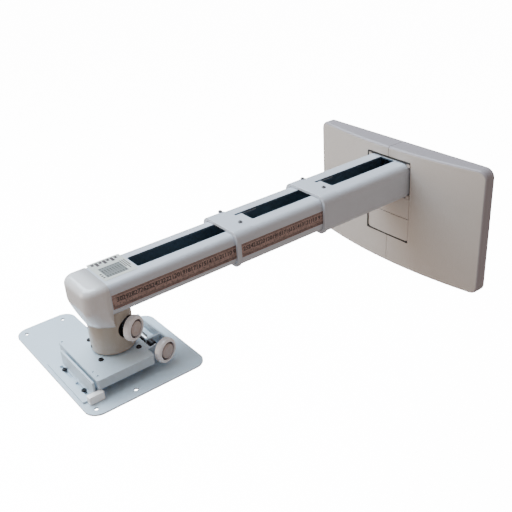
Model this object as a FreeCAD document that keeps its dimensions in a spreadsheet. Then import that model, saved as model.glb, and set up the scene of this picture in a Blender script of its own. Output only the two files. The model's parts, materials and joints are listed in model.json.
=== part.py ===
"""Wall arm for an ultra short throw projector, as a parametric assembly.

Frame: the wall is the plane y = 0, the arm reaches out along -Y, +X is the side
with the length scales and +Z is up.  The origin is the middle of the wall unit.
"""
import FreeCAD, Part
import math
import os
import re

doc = FreeCAD.newDocument("projector_wall_arm")
sheet = doc.addObject("Spreadsheet::Sheet", "dims")

SIZES = {
    # wall unit
    "plate_width": 384, "plate_height": 212, "plate_thick": 3,
    "wall_hole_across": 320, "wall_hole_up": 160, "wall_hole_radius": 4.25,
    "cover_width": 420, "cover_height": 248, "cover_corner": 17,
    "cover_depth": 42, "cover_bow_radius": 1050.7,
    "cover_wall": 2.5, "cover_edge_round": 5, "seam_half": 0.35,
    "cutout_width": 109.4, "cutout_height": 168.2, "cutout_centre_z": 20.5, "cutout_corner": 9,
    "filler_side_gap": 2.2, "filler_near_gap": 0.5, "filler_low_gap": 2.4, "filler_corner": 7,
    "filler_split_z": -13, "filler_split_half": 0.5, "filler_top_z": 29.5,
    "stud_across": 340, "stud_up": 190, "stud_radius": 5,
    "bracket_width": 150, "bracket_height": 100, "bracket_thick": 5,
    "socket_depth": 20, "socket_wall": 3,
    "bracket_bolt_across": 128, "bracket_bolt_up": 76, "bracket_hole": 3.2,
    "bolt_head": 5.5, "bolt_head_tall": 5, "bolt_shank": 3, "bolt_long": 8,
    "stud_long": 21, "stud_foot": 2,
    # telescopic arm
    "arm_z": 65.6, "tube_wall": 3, "slot_width": 36, "slot_corner": 3, "relief_width": 5,
    "relief_length": 12,
    "outer_width": 101, "outer_height": 69, "outer_round": 13,
    "middle_width": 92.6, "middle_height": 61, "middle_round": 12,
    "inner_width": 84, "inner_height": 53, "inner_round": 11,
    "outer_rear": 8, "outer_front": 253, "outer_slot_rear": 43, "outer_slot_front": 205.2,
    "middle_rear": 170, "middle_front": 438, "middle_slot_front": 384.7,
    "inner_rear": 350, "inner_front": 666.5, "inner_slot_front": 603.6,
    "collar_proud": 1.8, "collar_rim": 4.5, "collar_lip": 2, "collar_lip_gap": 0.5,
    "collar_screw_head": 3.5, "collar_screw_tall": 1.8,
    "saddle_depth": 35, "saddle_drop": 13,
    "collar_screw_back": 28.5, "collar_screw_right": 17, "collar_screw_left": 40,
    "pad_thick": 0.8, "pad_length": 24,
    "scale_low": 51.5, "scale_height": 24, "scale_thick": 0.35, "scale_recess": 0.5,
    "label_across": 64, "label_deep": 56, "label_corner": 2, "label_thick": 0.3,
    "label_x": -8, "label_y": -634.5,
    # end cap and column
    "cap_front": 706, "cap_wall": 3, "cap_corner": 19, "cap_top_round": 13, "cap_proud": 0.6,
    "cap_waist_z": 47, "chin_half": 37.6,
    "column_y": -657, "column_radius": 35, "column_wall": 3,
    "column_low": -30.5, "column_top": 39.1, "chin_low": 20,
    "window_radius": 18, "tilt_knob_angle": 25, "knob_z": 7, "knob_root": 39,
    "knob_radius": 20.5, "knob_thick": 12, "knob_dish": 5.5, "knob_cap_inset": 8.7,
    "stem_radius": 4, "shaft_gap": 0.06, "grub_angle": -98, "grub_z": -25,
    "grub_radius": 2.4, "grub_tall": 1.4, "knob_inset": 3, "stem_start": 24,
    "housing_screw_half": 18, "housing_way": 2.2, "housing_shank": 2, "housing_shank_long": 6.5,
    # head joints
    "washer_radius": 14, "washer_thick": 2.1, "thrust_gap": 0.2,
    "yaw_head_radius": 10, "yaw_head_tall": 7,
    "yaw_bolt_radius": 6, "yoke_radius": 28, "yoke_top": 32.3, "yoke_thick": 6,
    "arm_inner": 17, "arm_thick": 6, "arm_half": 9, "cross_half": 12, "cross_thick": 14,
    "flange_radius": 27, "flange_thick": 6,
    # slide and projector plate
    "slide_top": -34, "slide_tall": 16, "slide_skin": 3, "slide_left": -66, "slide_right": 70,
    "slide_front": -722, "slide_notch": -624.5, "slide_rear": -585, "rear_half": 49.5,
    "screw_circle": 43.5, "screw_turn": -10, "tray_front": -619,
    "slide_screw_head": 4.2, "slide_screw_tall": 2.6, "slide_screw_shank": 2.5, "spare_hole": 1.6,
    "rod_across": 34, "clamp_x": 34, "rod_radius": 4, "rod_z": -47, "rod_half": 46,
    "clamp_width": 12, "clamp_half_depth": 8, "clamp_tall": 16,
    "bearing_left": -5, "bearing_right": 21, "bearing_top": -40,
    "lead_y": -608.65, "lead_z": -40, "lead_end": 38, "sleeve_start": 28, "sleeve_end": 39.5,
    "sleeve_radius": 6, "web_start": 22, "web_end": 26, "web_front": -614,
    "shift_knob_x": 57.6, "shift_knob_y": -603.4, "shift_knob_angle": 18, "shift_stem_long": 16.2,
    "nut_half": 10, "nut_half_depth": 5.4, "nut_top": -38,
    "projector_top": -64, "projector_thick": 3,
    "projector_left": -187, "projector_right": 104, "projector_front": -754,
    "projector_step_y": -651, "projector_rear": -551, "projector_step_x": -85,
    "projector_round": 22, "projector_hole_radius": 3.25,
    "projector_hole_left": -170, "projector_hole_right": 88,
    "projector_hole_front": -738, "projector_hole_rear": -672,
    "rail_foot_front": -748, "rail_web_front": -729, "rail_web_rear": -725.5,
    "end_block_wide": 11, "end_block_deep": 25, "end_block_tall": 13, "end_block_y": -729,
    "rail_thick": 3, "rail_top": -36, "rail_left": -62, "rail_right": 66, "lip_left": -44,
    "rail_screw_left": -27, "rail_screw_right": 41, "rail_screw_y": -734, "rail_slot_long": 40,
    "rail_slot_wide": 5.2,
}

for row, (alias, number) in enumerate(SIZES.items(), start=1):
    sheet.set(f"A{row}", alias)
    sheet.set(f"B{row}", str(number))
    sheet.setAlias(f"B{row}", alias)
doc.recompute()

FRONT = "XZ_Plane"      # sketch u = X, v = Z, pads grow towards -Y
PLAN = "XY_Plane"       # sketch u = X, v = Y, pads grow towards +Z
SIDE = "YZ_Plane"       # sketch u = Y, v = Z, pads grow towards +X
finished = []


# ---------------------------------------------------------------- helpers

def linked(text):
    """The expression with each size name turned into a reference to the sheet."""
    return re.sub(r"[a-z][a-z_]*", lambda m: f"dims.{m.group()}" if m.group() in SIZES else m.group(),
                  str(text))


def size(alias):
    """The number that a cell of the sheet holds."""
    return float(sheet.get(alias))


def node(item, label):
    """Gives a finished sub-part its label and puts it on the list of parts."""
    item.Label = label
    finished.append(item)
    return item


def place(item, x="0", y="0", z="0"):
    """Binds the position of an object to three expressions."""
    for axis, text in zip("xyz", (x, y, z)):
        item.setExpression(f"Placement.Base.{axis}", linked(text))


def box(name, x_range, y_range, z_range):
    """A box between three pairs of expressions."""
    item = doc.addObject("Part::Box", name)
    for prop, (low, high) in zip(("Length", "Width", "Height"), (x_range, y_range, z_range)):
        item.setExpression(prop, linked(f"({high}) - ({low})"))
    place(item, x_range[0], y_range[0], z_range[0])
    return item


TURNS = {
    "X": FreeCAD.Rotation(FreeCAD.Vector(0, 1, 0), 90),
    "Y": FreeCAD.Rotation(FreeCAD.Vector(1, 0, 0), -90),
    "-Y": FreeCAD.Rotation(FreeCAD.Vector(1, 0, 0), 90),
    "Z": FreeCAD.Rotation(),
}


def cylinder(name, axis, radius, length, x="0", y="0", z="0"):
    """A cylinder that starts at x, y, z and runs along the named axis."""
    item = doc.addObject("Part::Cylinder", name)
    item.setExpression("Radius", linked(radius))
    item.setExpression("Height", linked(length))
    item.Placement = FreeCAD.Placement(FreeCAD.Vector(), TURNS[axis])
    place(item, x, y, z)
    return item


def cut(name, base, tool):
    """The base with the tool taken away."""
    item = doc.addObject("Part::Cut", name)
    item.Base = base
    item.Tool = tool
    return item


def common(name, first, second):
    """What two solids share."""
    item = doc.addObject("Part::Common", name)
    item.Base = first
    item.Tool = second
    return item


def fuse(name, *items):
    """One solid from several that touch."""
    item = doc.addObject("Part::MultiFuse", name)
    item.Shapes = list(items)
    return item


def group(name, items):
    """Several equal solids kept together as one sub-part."""
    item = doc.addObject("Part::Compound", name)
    item.Links = list(items)
    return item


def sketch_on(body, plane, name, u="0", v="0", offset="0"):
    """A sketch on one of the body's own planes, centred at u, v and moved along the normal."""
    origin_plane = next(f for f in body.Origin.OriginFeatures if f.Role == plane)
    sketch = body.newObject("Sketcher::SketchObject", name)
    sketch.AttachmentSupport = [(origin_plane, "")]
    sketch.MapMode = "FlatFace"
    for axis, text in zip("xyz", (u, v, offset)):
        sketch.setExpression(f"AttachmentOffset.Base.{axis}", linked(text))
    return sketch


def number(text):
    """The present value of an expression in the sheet's names."""
    names = {alias: size(alias) for alias in set(re.findall(r"[a-z][a-z_]*", str(text))) & set(SIZES)}
    for alias in sorted(names, key=len, reverse=True):
        text = re.sub(rf"\b{alias}\b", f"({names[alias]})", str(text))
    return float(FreeCAD.Units.Quantity(str(text)).Value)


def constrain(sketch, kind, *places, expression):
    """A dimension of a sketch that follows an expression."""
    import Sketcher
    index = sketch.addConstraint(Sketcher.Constraint(kind, *places, number(expression)))
    sketch.setExpression(f"Constraints[{index}]", linked(expression))


def rounded_rectangle(sketch, width, height, radius):
    """A fully constrained rectangle with round corners about the sketch's origin."""
    import Sketcher
    half_w, half_h, r = number(width) / 2, number(height) / 2, number(radius)
    vector = FreeCAD.Vector
    ends = (((-half_w + r, -half_h), (half_w - r, -half_h)),
            ((half_w, -half_h + r), (half_w, half_h - r)),
            ((half_w - r, half_h), (-half_w + r, half_h)),
            ((-half_w, half_h - r), (-half_w, -half_h + r)))
    for start, end in ends:
        sketch.addGeometry(Part.LineSegment(vector(*start, 0), vector(*end, 0)))
    centres = ((half_w - r, -half_h + r), (half_w - r, half_h - r), (-half_w + r, half_h - r),
               (-half_w + r, -half_h + r))
    for quarter, centre in enumerate(centres):
        circle = Part.Circle(vector(*centre, 0), vector(0, 0, 1), r)
        first = math.pi / 2 * (quarter - 1)
        sketch.addGeometry(Part.ArcOfCircle(circle, first, first + math.pi / 2))
    for side in range(4):
        corner = side + 4
        sketch.addConstraint(Sketcher.Constraint("Tangent", side, 2, corner, 1))
        sketch.addConstraint(Sketcher.Constraint("Tangent", corner, 2, (side + 1) % 4, 1))
        sketch.addConstraint(Sketcher.Constraint("Vertical" if side % 2 else "Horizontal", side))
    for corner in (5, 6, 7):
        sketch.addConstraint(Sketcher.Constraint("Equal", 4, corner))
    sketch.addConstraint(Sketcher.Constraint("Symmetric", 0, 1, 2, 1, -1, 1))
    constrain(sketch, "DistanceX", 3, 1, 1, 1, expression=width)
    constrain(sketch, "DistanceY", 0, 1, 2, 1, expression=height)
    constrain(sketch, "Radius", 4, expression=radius)


def circles(sketch, radius, centres):
    """Equal circles at centres given as expressions."""
    for index, (u, v) in enumerate(centres):
        centre = FreeCAD.Vector(number(u), number(v), 0)
        sketch.addGeometry(Part.Circle(centre, FreeCAD.Vector(0, 0, 1), number(radius)))
        constrain(sketch, "DistanceX", -1, 1, index, 3, expression=u)
        constrain(sketch, "DistanceY", -1, 1, index, 3, expression=v)
        constrain(sketch, "Radius", index, expression=radius)


def extrude(body, sketch, length, cuts=False):
    """Pads or pockets a sketch along its normal."""
    kind = "PartDesign::Pocket" if cuts else "PartDesign::Pad"
    feature = body.newObject(kind, f"{sketch.Name}_{'pocket' if cuts else 'pad'}")
    feature.Profile = sketch
    feature.setExpression("Length", linked(length))
    feature.Reversed = cuts
    sketch.Visibility = False
    if cuts:
        before = feature.BaseFeature.Shape.Volume
        doc.recompute()
        if not feature.Shape.Volume < before:
            raise RuntimeError(f"{feature.Name} cuts nothing")
    else:
        doc.recompute()
    return feature


def prism(name, plane, width, height, radius, offset, length, u="0", v="0"):
    """A body that is a rounded rectangle padded along the plane's normal."""
    body = doc.addObject("PartDesign::Body", name)
    sketch = sketch_on(body, plane, f"{name}_outline", u, v, offset)
    rounded_rectangle(sketch, width, height, radius)
    extrude(body, sketch, length)
    return body


def pocket(body, name, plane, width, height, radius, offset, length, u="0", v="0"):
    """A pocket of rounded rectangular section in a body."""
    sketch = sketch_on(body, plane, name, u, v, offset)
    rounded_rectangle(sketch, width, height, radius)
    return extrude(body, sketch, length, cuts=True)


def holes(body, name, plane, radius, centres, offset, length):
    """Round holes through a body."""
    sketch = sketch_on(body, plane, name, offset=offset)
    circles(sketch, radius, centres)
    return extrude(body, sketch, length, cuts=True)


def rounded(name, base, radius, wanted):
    """Rounds the edges of a solid that the test picks."""
    doc.recompute()
    edges = [(index, radius, radius)
             for index, edge in enumerate(base.Shape.Edges, start=1) if wanted(edge)]
    item = doc.addObject("Part::Fillet", name)
    item.Base = base
    item.Edges = edges
    doc.recompute()
    return item


def is_along_z(edge):
    """True for a straight edge that stands upright."""
    ends = [vertex.Point for vertex in edge.Vertexes]
    return len(ends) == 2 and (ends[0] - ends[1]).cross(FreeCAD.Vector(0, 0, 1)).Length < 1e-6


def corners_at(half_u, half_v, middle_v="0"):
    """The four corners of a rectangle about u = 0 as pairs of expressions."""
    return [(f"{su}({half_u})", f"{middle_v} {sv} ({half_v})") for su in ("-", "") for sv in ("-", "+")]


def screw(name, axis, head_radius, head_tall, shank_radius, shank_long, x, y, z):
    """A round headed screw along Z or -Y: the head starts at x, y, z and the shank runs back."""
    head = cylinder(f"{name}_head", axis, head_radius, head_tall, x, y, z)
    if axis == "Z":
        z = f"({z}) - {shank_long}"
    else:
        y = f"({y}) + {shank_long}"
    shank = cylinder(f"{name}_shank", axis, shank_radius, shank_long, x, y, z)
    return fuse(name, head, shank)


# ---------------------------------------------------------------- wall unit

def wall_plate():
    """Flat steel plate that the wall screws pass through."""
    body = prism("wall_plate", FRONT, "plate_width", "plate_height", "cutout_corner", "0", "plate_thick")
    wall_holes = corners_at("wall_hole_across / 2", "wall_hole_up / 2")
    holes(body, "wall_holes", FRONT, "wall_hole_radius", wall_holes, "0", "plate_thick")
    bolt_holes = corners_at("bracket_bolt_across / 2", "bracket_bolt_up / 2", "arm_z")
    holes(body, "bracket_bolt_holes", FRONT, "bracket_hole", bolt_holes, "0", "plate_thick")
    node(body, "wall_plate")


def arm_bracket():
    """Base plate with a short socket that holds the rear end of the outer tube."""
    body = prism("arm_bracket", FRONT, "bracket_width", "bracket_height", "cutout_corner",
                 "plate_thick", "bracket_thick", v="arm_z")
    sketch = sketch_on(body, FRONT, "socket", v="arm_z", offset="plate_thick + bracket_thick")
    rounded_rectangle(sketch, "outer_width + 2 * socket_wall + 0.2",
                      "outer_height + 2 * socket_wall + 0.2",
                      "outer_round + socket_wall")
    extrude(body, sketch, "socket_depth")
    pocket(body, "socket_bore", FRONT, "outer_width + 0.2", "outer_height + 0.2", "outer_round",
           "plate_thick + bracket_thick", "socket_depth", v="arm_z")
    bolt_holes = corners_at("bracket_bolt_across / 2", "bracket_bolt_up / 2", "arm_z")
    holes(body, "bracket_holes", FRONT, "bracket_hole", bolt_holes, "plate_thick", "bracket_thick")
    node(body, "arm_bracket")


def bracket_bolts():
    """Four bolts that hold the arm bracket on the wall plate."""
    bolts = []
    for index, (x, z) in enumerate(corners_at("bracket_bolt_across / 2", "bracket_bolt_up / 2", "arm_z")):
        bolts.append(screw(f"bracket_bolt_{index}", "-Y", "bolt_head", "bolt_head_tall", "bolt_shank",
                           "bolt_long", x,
                           "-(plate_thick + bracket_thick)", z))
    node(group("bracket_bolts", bolts), "bracket_bolts")


def bowed_block(name, inset):
    """Cover blank: a round cornered block whose front face is bowed from side to side."""
    block = prism(f"{name}_block", FRONT, f"cover_width - 2 * {inset}", f"cover_height - 2 * {inset}",
                  f"cover_corner - {inset}", "0", f"cover_depth - {inset}")
    bow = cylinder(f"{name}_bow", "Z", f"cover_bow_radius - {inset}", "cover_height",
                   y="cover_bow_radius - cover_depth", z="-cover_height / 2")
    return common(name, block, bow)


def cover_shell():
    """Open backed plastic shell with a bowed front, before the opening and the seam are cut."""
    outside = bowed_block("cover_outside", "0")
    radius = size("cover_bow_radius")
    centre = FreeCAD.Vector(0, radius - size("cover_depth"), 0)

    def on_front_rim(edge):
        points = edge.discretize(3)
        reach = [math.hypot(p.x - centre.x, p.y - centre.y) for p in points]
        return all(abs(r - radius) < 0.01 for r in reach)

    softened = rounded("cover_softened", outside, size("cover_edge_round"), on_front_rim)
    inside = bowed_block("cover_inside", "cover_wall")
    return cut("cover_shell", softened, inside)


def wall_covers():
    """The two halves of the wall cover and the two panels that fill its opening below the arm."""
    shell = cover_shell()
    opening = prism("cover_opening", FRONT, "cutout_width", "cutout_height", "cutout_corner",
                    "0", "2 * cover_depth", v="cutout_centre_z")
    framed = cut("cover_framed", shell, opening)
    far, top = "cover_width", "cover_height"
    depth = ("-2 * cover_depth", "cover_depth")
    left_side = box("left_side", (f"-{far}", "-seam_half"), depth, (f"-{top}", top))
    right_side = box("right_side", ("seam_half", far), depth, (f"-{top}", top))
    node(common("wall_cover_left", framed, left_side), "wall_cover_left")
    node(common("wall_cover_right", framed, right_side), "wall_cover_right")
    plug = prism("filler_plug", FRONT, "cutout_width - filler_side_gap - filler_near_gap",
                 "cutout_height - filler_low_gap", "filler_corner", "0", "2 * cover_depth",
                 u="(filler_side_gap - filler_near_gap) / 2", v="cutout_centre_z + filler_low_gap / 2")
    panel = common("filler_blank", shell, plug)
    spans = {"cover_filler_upper": ("filler_split_z + filler_split_half", "filler_top_z"),
             "cover_filler_lower": ("-cover_height", "filler_split_z - filler_split_half")}
    for name, z_range in spans.items():
        node(common(name, panel, box(f"{name}_span", (f"-{far}", far), depth, z_range)), name)


def cover_studs():
    """Four studs on the wall plate that the cover halves snap on to."""
    studs = []
    for index, (x, z) in enumerate(corners_at("stud_across / 2", "stud_up / 2")):
        stem = cylinder(f"stud_stem_{index}", "-Y", "stud_radius", "stud_long", x, "-plate_thick", z)
        foot = cylinder(f"stud_foot_{index}", "-Y", "stud_radius + 3", "stud_foot", x, "-plate_thick", z)
        studs.append(fuse(f"stud_{index}", stem, foot))
    node(group("cover_studs", studs), "cover_studs")


# ---------------------------------------------------------------- telescopic arm

def square_tube(name, width, height, radius, rear, front, slot_rear, slot_front):
    """A round cornered tube with a cable slot in its top wall."""
    body = prism(name, FRONT, width, height, radius, rear, f"({front}) - ({rear})", v="arm_z")
    pocket(body, f"{name}_bore", FRONT, f"{width} - 2 * tube_wall", f"{height} - 2 * tube_wall",
           f"{radius} - tube_wall", rear, f"({front}) - ({rear})", v="arm_z")
    pocket(body, f"{name}_slot", PLAN, "slot_width", f"({slot_front}) - ({slot_rear})", "slot_corner",
           "arm_z", f"{height}", v=f"-(({slot_front}) + ({slot_rear})) / 2")
    return body


def relief_slit(body, name, height, slot_front):
    """A narrow slit that runs on from the far front corner of a cable slot."""
    pocket(body, name, PLAN, "relief_width", "2 * relief_length", "1", "arm_z", height,
           u="-(slot_width - relief_width) / 2", v=f"-({slot_front})")


def scale_recess(body, name, width, rear, front):
    """A shallow recess along the +X side of a tube for its length scale."""
    pocket(body, name, SIDE, f"({front}) - ({rear})", "scale_height + 1", "1",
           f"{width} / 2 - scale_recess", "1", u=f"-(({front}) + ({rear})) / 2",
           v="scale_low + scale_height / 2")


def outer_tube():
    """Fixed section of the arm."""
    body = square_tube("outer_tube", "outer_width", "outer_height", "outer_round",
                       "outer_rear", "outer_front", "outer_slot_rear", "outer_slot_front")
    relief_slit(body, "outer_relief", "outer_height", "outer_slot_front")
    node(body, "outer_tube")


def middle_tube():
    """Middle section; its slot is open at the rear end."""
    body = square_tube("middle_tube", "middle_width", "middle_height", "middle_round",
                       "middle_rear", "middle_front", "middle_rear - 20", "middle_slot_front")
    relief_slit(body, "middle_relief", "middle_height", "middle_slot_front")
    scale_recess(body, "middle_scale_recess", "middle_width", "middle_rear + 2", "middle_front - 7")
    node(body, "middle_tube")


def inner_tube():
    """Inner section; its slot is open at the rear end and it carries the head."""
    body = square_tube("inner_tube", "inner_width", "inner_height", "inner_round",
                       "inner_rear", "inner_front", "inner_rear - 20", "inner_slot_front")
    scale_recess(body, "inner_scale_recess", "inner_width", "inner_rear + 2", "inner_front - 1.5")
    holes(body, "yaw_bolt_hole", PLAN, "yaw_bolt_radius + 1", [("0", "column_y")],
          "column_top - 1", "tube_wall + 2")
    node(body, "inner_tube")


def scale_tape(name, width, rear, front):
    """A thin length scale that lies in its recess."""
    body = prism(name, SIDE, f"({front}) - ({rear}) - 1", "scale_height", "0.5",
                 f"{width} / 2 - scale_recess", "scale_thick", u=f"-(({front}) + ({rear})) / 2",
                 v="scale_low + scale_height / 2")
    node(body, name)


def collar(name, width, height, radius, front, inner_width, inner_height, inner_radius):
    """End collar of a tube: a rim all round, a saddle over the top and a lip at the front."""
    outside = (f"{width} + 2 * collar_proud", f"{height} + 2 * collar_proud", f"{radius} + collar_proud")
    rim = prism(f"{name}_rim", FRONT, *outside, f"{front} - collar_rim", "collar_rim + collar_lip",
                v="arm_z")
    long_rim = prism(f"{name}_long_rim", FRONT, *outside, f"{front} - saddle_depth", "saddle_depth",
                     v="arm_z")
    top = f"arm_z + {height} / 2"
    roof = box(f"{name}_roof", (f"-{width}", width), (f"-({front})", f"-({front}) + saddle_depth"),
               (f"{top} - saddle_drop", f"{top} + 5"))
    saddle = common(f"{name}_saddle", long_rim, roof)
    whole = fuse(f"{name}_whole", rim, saddle)
    bore = prism(f"{name}_bore", FRONT, width, height, radius, f"{front} - saddle_depth - 1",
                 "saddle_depth + 1", v="arm_z")
    lip_bore = prism(f"{name}_lip_bore", FRONT, f"{inner_width} + 2 * collar_lip_gap",
                     f"{inner_height} + 2 * collar_lip_gap", f"{inner_radius} + collar_lip_gap",
                     f"{front} - 1", "collar_lip + 2", v="arm_z")
    hollow = fuse(f"{name}_hollow", bore, lip_bore)
    node(cut(name, whole, hollow), name)


def collar_screws(name, height, front):
    """Two clamp screws whose heads stand on the saddle."""
    top = f"arm_z + {height} / 2 + collar_proud"
    screws = []
    for index, x in enumerate(("collar_screw_right", "-collar_screw_left")):
        head = cylinder(f"{name}_{index}", "Z", "collar_screw_head", "collar_screw_tall", x,
                        f"-({front}) + collar_screw_back", top)
        screws.append(head)
    node(group(name, screws), name)


def slide_pads(name, width, height, radius, y_low, y_high, outward):
    """Four flat pads on the sides of a tube that guide the next tube."""
    sign = "+" if outward else "-"
    thick = f"{sign} pad_thick"
    half_w, half_h = f"({width}) / 2", f"({height}) / 2"
    y_range = (y_low, y_high)
    flat_w = f"{half_w} - ({radius}) - 1"
    flat_h = f"{half_h} - ({radius}) - 1"
    pads = []
    for index, side in enumerate(("-", "")):
        near = f"{side}({half_w})"
        far = f"{side}({half_w} {thick})"
        pair = (far, near) if (side == "-") == outward else (near, far)
        pads.append(box(f"{name}_side_{index}", pair, y_range,
                        (f"arm_z - ({flat_h})", f"arm_z + ({flat_h})")))
    low = (f"arm_z - ({half_h}) - pad_thick", f"arm_z - ({half_h})")
    if not outward:
        low = (f"arm_z - ({half_h})", f"arm_z - ({half_h}) + pad_thick")
    pads.append(box(f"{name}_bottom", (f"-({flat_w})", flat_w), y_range, low))
    node(group(name, pads), name)


def arm_sections():
    """The three tubes with their collars, screws, pads and scales."""
    outer_tube()
    middle_tube()
    inner_tube()
    collar("outer_collar", "outer_width", "outer_height", "outer_round", "outer_front",
           "middle_width", "middle_height", "middle_round")
    collar("middle_collar", "middle_width", "middle_height", "middle_round", "middle_front",
           "inner_width", "inner_height", "inner_round")
    collar_screws("outer_collar_screws", "outer_height", "outer_front")
    collar_screws("middle_collar_screws", "middle_height", "middle_front")
    slide_pads("outer_front_pads", "outer_width - 2 * tube_wall", "outer_height - 2 * tube_wall",
               "outer_round - tube_wall", "-outer_front", "-outer_front + pad_length", False)
    slide_pads("middle_front_pads", "middle_width - 2 * tube_wall", "middle_height - 2 * tube_wall",
               "middle_round - tube_wall", "-middle_front", "-middle_front + pad_length", False)
    slide_pads("middle_rear_pads", "middle_width", "middle_height", "middle_round",
               "-middle_rear - pad_length", "-middle_rear", True)
    slide_pads("inner_rear_pads", "inner_width", "inner_height", "inner_round",
               "-inner_rear - pad_length", "-inner_rear", True)
    scale_tape("middle_scale", "middle_width", "middle_rear + 2", "middle_front - 7")
    scale_tape("inner_scale", "inner_width", "inner_rear + 2", "inner_front - 1.5")


def top_label():
    """Plain rating label on top of the inner tube, in front of its slot."""
    body = prism("top_label", PLAN, "label_across", "label_deep", "label_corner",
                 "arm_z + inner_height / 2", "label_thick", u="label_x", v="label_y")
    node(body, "top_label")


# ---------------------------------------------------------------- end cap and column

def end_cap():
    """Moulded cap over the end of the arm; its chin narrows down to wrap the front of the column."""
    width = "inner_width + 2 * cap_proud"
    top = "arm_z + inner_height / 2 + cap_proud"
    depth = "cap_front - inner_front"
    from_front = prism("cap_from_front", FRONT, width, f"2 * ({top} - cap_waist_z)", "cap_top_round",
                       "inner_front", depth, v="cap_waist_z")
    from_above = prism("cap_from_above", PLAN, width, f"2 * ({depth})", "cap_corner", "cap_waist_z",
                       f"{top} - cap_waist_z", v="-inner_front")
    crown = rounded("cap_crown_side",
                    box("cap_side_block", (f"-({width})", width), ("-cap_front", "-inner_front"),
                                          ("cap_waist_z", top)), size("cap_top_round"),
                    is_upper_front_edge)
    upper = common("cap_upper", common("cap_two_ways", from_front, from_above), crown)
    waist = cap_section("cap_waist_section", width, f"2 * ({depth})", "cap_corner", "-inner_front",
                        "cap_waist_z")
    hem = cap_section("cap_hem_section", "2 * chin_half", "2 * chin_half", "chin_half - 0.5",
                      "column_y", "chin_low")
    taper = doc.addObject("Part::Loft", "cap_taper")
    taper.Sections = [hem, waist]
    taper.Solid = True
    taper.Ruled = True
    chin = common("cap_chin", taper,
                  box("cap_chin_span", (f"-({width})", width), ("-cap_front", "-inner_front"),
                                         ("chin_low - 1", "cap_waist_z + 1")))
    tube_room = prism("cap_tube_room", FRONT, "inner_width - 2 * cap_wall", "inner_height - 2 * cap_wall",
                      "inner_round - cap_wall", "inner_front - 1", f"{depth} - 8", v="arm_z")
    bore = cylinder("cap_bore", "Z", "column_radius + 0.1", "column_top - chin_low + 1", "0", "column_y",
                    "chin_low - 1")
    solid = fuse("cap_solid", upper, chin)
    hollowed = cut("cap_hollowed", solid, tube_room)
    node(cut("end_cap", hollowed, bore), "end_cap")


def is_upper_front_edge(edge):
    """True for the long edge where the cap's front meets its top."""
    box_of_edge = edge.BoundBox
    on_front = abs(box_of_edge.YMax + size("cap_front")) < 1e-3
    return on_front and box_of_edge.ZMin > size("arm_z") and box_of_edge.XLength > 1


def cap_section(name, width, depth, corner, y, z):
    """Plan outline of the cap at one height, as a round cornered rectangle."""
    section = doc.addObject("Sketcher::SketchObject", name)
    rounded_rectangle(section, width, depth, corner)
    place(section, "0", y, z)
    return section


def point_out(item, angle, x, y, z):
    """Turns an object about Z so that its +X looks along an angle in plan, and puts it at x, y, z."""
    turn = FreeCAD.Rotation(FreeCAD.Vector(0, 0, 1), angle)
    item.Placement = FreeCAD.Placement(FreeCAD.Vector(x, y, z), turn.multiply(item.Placement.Rotation))


def radial(item, angle, distance, z):
    """Puts an object on a ray from the column's axis, looking outwards."""
    reach = FreeCAD.Rotation(FreeCAD.Vector(0, 0, 1), angle).multVec(FreeCAD.Vector(distance, 0, 0))
    point_out(item, angle, reach.x, size("column_y") + reach.y, z)


def plain_cylinder(name, radius, length):
    """A cylinder along +X from the origin, to be placed afterwards."""
    item = doc.addObject("Part::Cylinder", name)
    item.setExpression("Radius", linked(radius))
    item.setExpression("Height", linked(length))
    item.Placement = FreeCAD.Placement(FreeCAD.Vector(), TURNS["X"])
    return item


def radial_cylinder(name, radius, length, distance):
    """A cylinder along the tilt knob's axis, from a distance off the column's axis."""
    item = plain_cylinder(name, radius, length)
    radial(item, size("tilt_knob_angle"), number(distance), size("knob_z"))
    return item


def column_grub():
    """Small grub screw low on the housing."""
    item = plain_cylinder("column_grub", "grub_radius", "grub_tall")
    radial(item, size("grub_angle"), size("column_radius") - 0.6, size("grub_z"))
    node(item, "column_grub")


def column_housing():
    """Round housing under the end of the arm, with a window for the tilt knob."""
    drum = cylinder("drum", "Z", "column_radius", "column_top - column_low", "0", "column_y",
                    "column_low")
    room = cylinder("drum_room", "Z", "column_radius - column_wall", "column_top - column_low - 4",
                    "0", "column_y", "column_low")
    for round_solid in (drum, room):
        round_solid.Placement.Rotation = FreeCAD.Rotation(FreeCAD.Vector(0, 0, 1),
                                                          size("tilt_knob_angle") + 180)
    bore = cylinder("drum_bore", "Z", "yaw_bolt_radius + 0.3", "30", "0", "column_y", "column_top - 20")
    window = radial_cylinder("window", "window_radius", "30", "20")
    screw_ways = [cylinder(f"drum_screw_way_{index}", "Z", "housing_way", "10", x, f"column_y + ({y})",
                           "column_top - 8")
                  for index, (x, y) in enumerate(corners_at("housing_screw_half", "housing_screw_half"))]
    hollow_drum = cut("drum_hollow", drum, room)
    bored_drum = cut("drum_bored", hollow_drum, fuse("drum_ways", bore, *screw_ways))
    node(cut("column_housing", bored_drum, window), "column_housing")


def housing_screws():
    """Four screws that hold the housing up against the arm."""
    screws = []
    for index, (x, y) in enumerate(corners_at("housing_screw_half", "housing_screw_half")):
        shank = cylinder(f"housing_shank_{index}", "Z", "housing_shank", "housing_shank_long", x,
                         f"column_y + ({y})",
                         "column_top - 4")
        screws.append(shank)
    node(group("housing_screws", screws), "housing_screws")


def thrust_washer():
    """Plastic washer between the housing's top and the yoke."""
    ring = cylinder("washer_ring", "Z", "washer_radius", "washer_thick", "0", "column_y",
                    "yoke_top + thrust_gap")
    bore = cylinder("washer_bore", "Z", "yaw_bolt_radius + 0.4", "6", "0", "column_y", "yoke_top - 1")
    node(cut("thrust_washer", ring, bore), "thrust_washer")


# ---------------------------------------------------------------- head

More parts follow.
